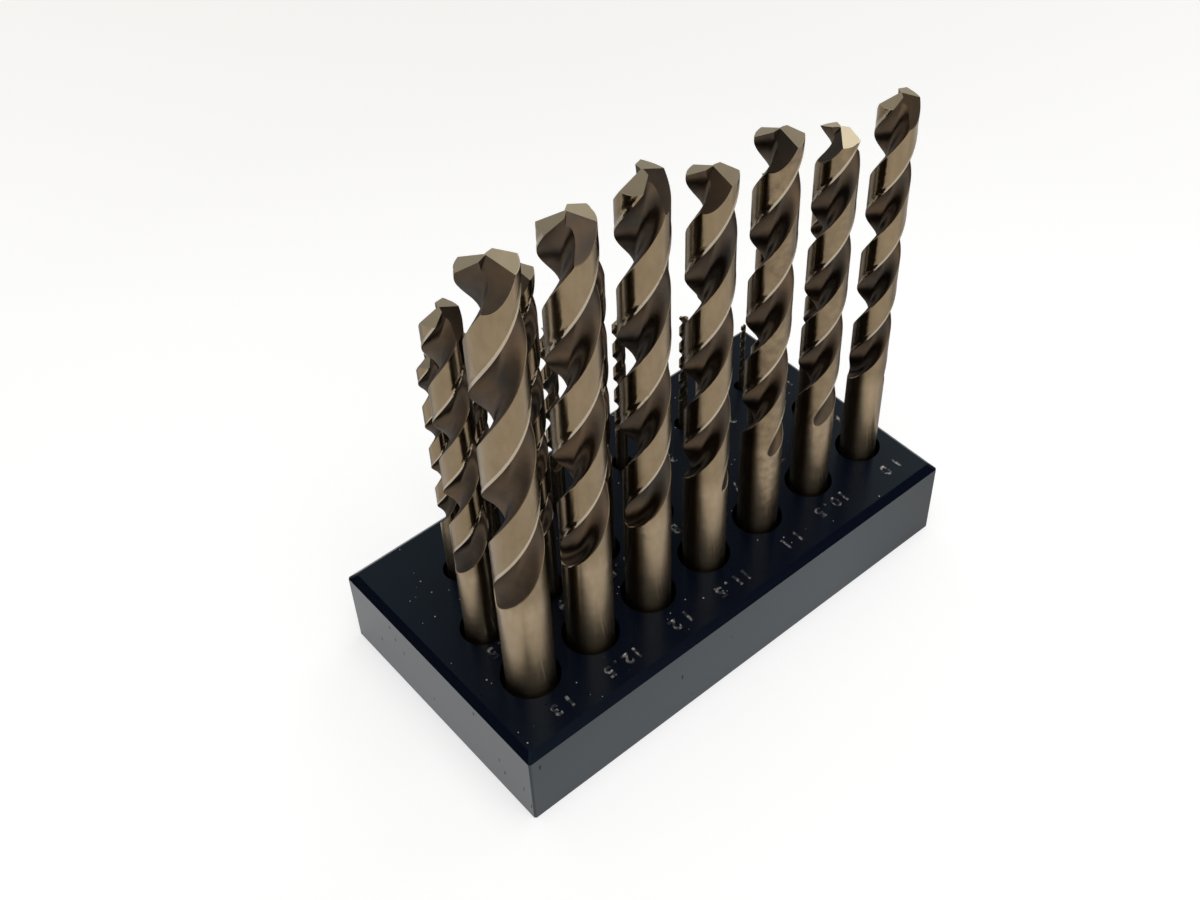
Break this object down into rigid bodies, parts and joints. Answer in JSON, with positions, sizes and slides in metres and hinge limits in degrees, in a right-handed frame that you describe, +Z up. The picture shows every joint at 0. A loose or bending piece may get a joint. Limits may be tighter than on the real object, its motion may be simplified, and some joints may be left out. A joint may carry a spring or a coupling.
{
  "type": "drill bit stand",
  "caption": "Flat rectangular block with three rows of blind holes, each holding a twist drill point up, in a graded set of sizes.",
  "frame": {"origin": "middle of the block's underside, on the surface it stands on", "axes": "+Z up, along the drills to their points; +X along the block towards the largest drill; +Y across the block towards the row of the largest drills, with the numbers read from the -Y side"},
  "size_m": [0.146, 0.078, 0.161],
  "materials": {
    "block": "black anodised aluminium, fine milled faces, semi-gloss",
    "drill_steel": "ground high-speed steel with a warm bronze tint on the lands and shanks, darker brown in the flutes"
  },
  "bodies": {
    "block": {"stand_block": "block"},
    "drill_13_0": {"drill_13_0": "drill_steel"},
    "drill_12_5": {"drill_12_5": "drill_steel"},
    "drill_12_0": {"drill_12_0": "drill_steel"},
    "drill_11_5": {"drill_11_5": "drill_steel"},
    "drill_11_0": {"drill_11_0": "drill_steel"},
    "drill_10_5": {"drill_10_5": "drill_steel"},
    "drill_10_0": {"drill_10_0": "drill_steel"},
    "drill_09_5": {"drill_09_5": "drill_steel"},
    "drill_09_0": {"drill_09_0": "drill_steel"},
    "drill_08_5": {"drill_08_5": "drill_steel"},
    "drill_08_0": {"drill_08_0": "drill_steel"},
    "drill_07_5": {"drill_07_5": "drill_steel"},
    "drill_07_0": {"drill_07_0": "drill_steel"},
    "drill_06_5": {"drill_06_5": "drill_steel"},
    "drill_06_0": {"drill_06_0": "drill_steel"},
    "drill_05_5": {"drill_05_5": "drill_steel"},
    "drill_05_0": {"drill_05_0": "drill_steel"},
    "drill_04_5": {"drill_04_5": "drill_steel"},
    "drill_04_0": {"drill_04_0": "drill_steel"},
    "drill_03_5": {"drill_03_5": "drill_steel"},
    "drill_03_0": {"drill_03_0": "drill_steel"},
    "drill_02_5": {"drill_02_5": "drill_steel"},
    "drill_02_0": {"drill_02_0": "drill_steel"},
    "drill_01_5": {"drill_01_5": "drill_steel"},
    "drill_01_0": {"drill_01_0": "drill_steel"}
  },
  "joints": [
    {"name": "drill_13_0_lift", "type": "slide", "parent": "block", "child": "drill_13_0", "axis": [0, 0, 1], "range_m": [0, 0.02]},
    {"name": "drill_12_5_lift", "type": "slide", "parent": "block", "child": "drill_12_5", "axis": [0, 0, 1], "range_m": [0, 0.02]},
    {"name": "drill_12_0_lift", "type": "slide", "parent": "block", "child": "drill_12_0", "axis": [0, 0, 1], "range_m": [0, 0.02]},
    {"name": "drill_11_5_lift", "type": "slide", "parent": "block", "child": "drill_11_5", "axis": [0, 0, 1], "range_m": [0, 0.02]},
    {"name": "drill_11_0_lift", "type": "slide", "parent": "block", "child": "drill_11_0", "axis": [0, 0, 1], "range_m": [0, 0.02]},
    {"name": "drill_10_5_lift", "type": "slide", "parent": "block", "child": "drill_10_5", "axis": [0, 0, 1], "range_m": [0, 0.02]},
    {"name": "drill_10_0_lift", "type": "slide", "parent": "block", "child": "drill_10_0", "axis": [0, 0, 1], "range_m": [0, 0.02]},
    {"name": "drill_09_5_lift", "type": "slide", "parent": "block", "child": "drill_09_5", "axis": [0, 0, 1], "range_m": [0, 0.02]},
    {"name": "drill_09_0_lift", "type": "slide", "parent": "block", "child": "drill_09_0", "axis": [0, 0, 1], "range_m": [0, 0.02]},
    {"name": "drill_08_5_lift", "type": "slide", "parent": "block", "child": "drill_08_5", "axis": [0, 0, 1], "range_m": [0, 0.02]},
    {"name": "drill_08_0_lift", "type": "slide", "parent": "block", "child": "drill_08_0", "axis": [0, 0, 1], "range_m": [0, 0.02]},
    {"name": "drill_07_5_lift", "type": "slide", "parent": "block", "child": "drill_07_5", "axis": [0, 0, 1], "range_m": [0, 0.02]},
    {"name": "drill_07_0_lift", "type": "slide", "parent": "block", "child": "drill_07_0", "axis": [0, 0, 1], "range_m": [0, 0.02]},
    {"name": "drill_06_5_lift", "type": "slide", "parent": "block", "child": "drill_06_5", "axis": [0, 0, 1], "range_m": [0, 0.02]},
    {"name": "drill_06_0_lift", "type": "slide", "parent": "block", "child": "drill_06_0", "axis": [0, 0, 1], "range_m": [0, 0.02]},
    {"name": "drill_05_5_lift", "type": "slide", "parent": "block", "child": "drill_05_5", "axis": [0, 0, 1], "range_m": [0, 0.02]},
    {"name": "drill_05_0_lift", "type": "slide", "parent": "block", "child": "drill_05_0", "axis": [0, 0, 1], "range_m": [0, 0.02]},
    {"name": "drill_04_5_lift", "type": "slide", "parent": "block", "child": "drill_04_5", "axis": [0, 0, 1], "range_m": [0, 0.02]},
    {"name": "drill_04_0_lift", "type": "slide", "parent": "block", "child": "drill_04_0", "axis": [0, 0, 1], "range_m": [0, 0.02]},
    {"name": "drill_03_5_lift", "type": "slide", "parent": "block", "child": "drill_03_5", "axis": [0, 0, 1], "range_m": [0, 0.02]},
    {"name": "drill_03_0_lift", "type": "slide", "parent": "block", "child": "drill_03_0", "axis": [0, 0, 1], "range_m": [0, 0.02]},
    {"name": "drill_02_5_lift", "type": "slide", "parent": "block", "child": "drill_02_5", "axis": [0, 0, 1], "range_m": [0, 0.02]},
    {"name": "drill_02_0_lift", "type": "slide", "parent": "block", "child": "drill_02_0", "axis": [0, 0, 1], "range_m": [0, 0.02]},
    {"name": "drill_01_5_lift", "type": "slide", "parent": "block", "child": "drill_01_5", "axis": [0, 0, 1], "range_m": [0, 0.02]},
    {"name": "drill_01_0_lift", "type": "slide", "parent": "block", "child": "drill_01_0", "axis": [0, 0, 1], "range_m": [0, 0.02]}
  ]
}
